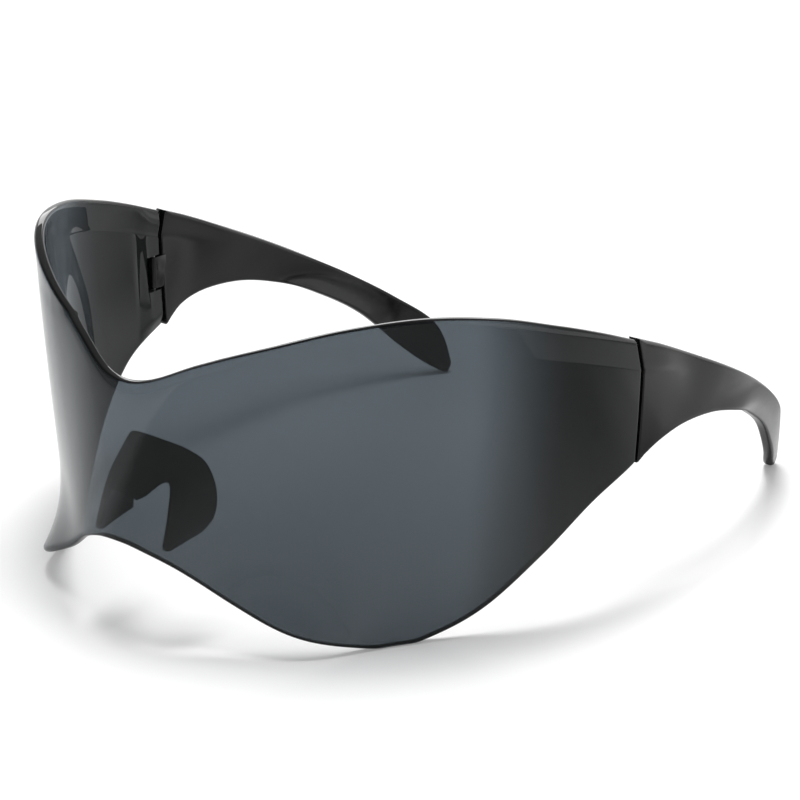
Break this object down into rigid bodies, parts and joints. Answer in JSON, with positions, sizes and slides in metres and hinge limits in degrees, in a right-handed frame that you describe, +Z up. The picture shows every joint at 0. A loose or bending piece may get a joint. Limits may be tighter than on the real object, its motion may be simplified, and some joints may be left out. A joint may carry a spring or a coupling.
{
  "type": "wrap-around goggle sunglasses",
  "caption": "Wrap-around goggle sunglasses: a one-piece smoked shield, a nose saddle behind it and broad folding temples.",
  "frame": {"origin": "centre of the box round the open glasses, on the plane that they stand on", "axes": "+Z up, -Y the way the wearer looks, +X the wearer's left; the left hinge is at +X"},
  "size_m": [0.1412, 0.1714, 0.0735],
  "materials": {
    "smoked_shield": "smoked blue-grey clear plastic, polished and see-through",
    "black_plastic": "moulded black plastic, glossy",
    "pin_steel": "plain steel pin"
  },
  "bodies": {
    "front": {"shield_lens": "smoked_shield", "nose_saddle": "black_plastic", "hinge_pin_left": "pin_steel", "hinge_pin_right": "pin_steel"},
    "left_temple": {"temple_left": "black_plastic"},
    "right_temple": {"temple_right": "black_plastic"}
  },
  "joints": [
    {"name": "left_fold", "type": "hinge", "parent": "front", "child": "left_temple", "pos_m": [0.06826, 0.00094, 0.0436], "axis": [0, 0, 1], "range_deg": [0, 86]},
    {"name": "right_fold", "type": "hinge", "parent": "front", "child": "right_temple", "pos_m": [-0.06826, 0.00094, 0.0436], "axis": [0, 0, -1], "range_deg": [0, 72]}
  ]
}
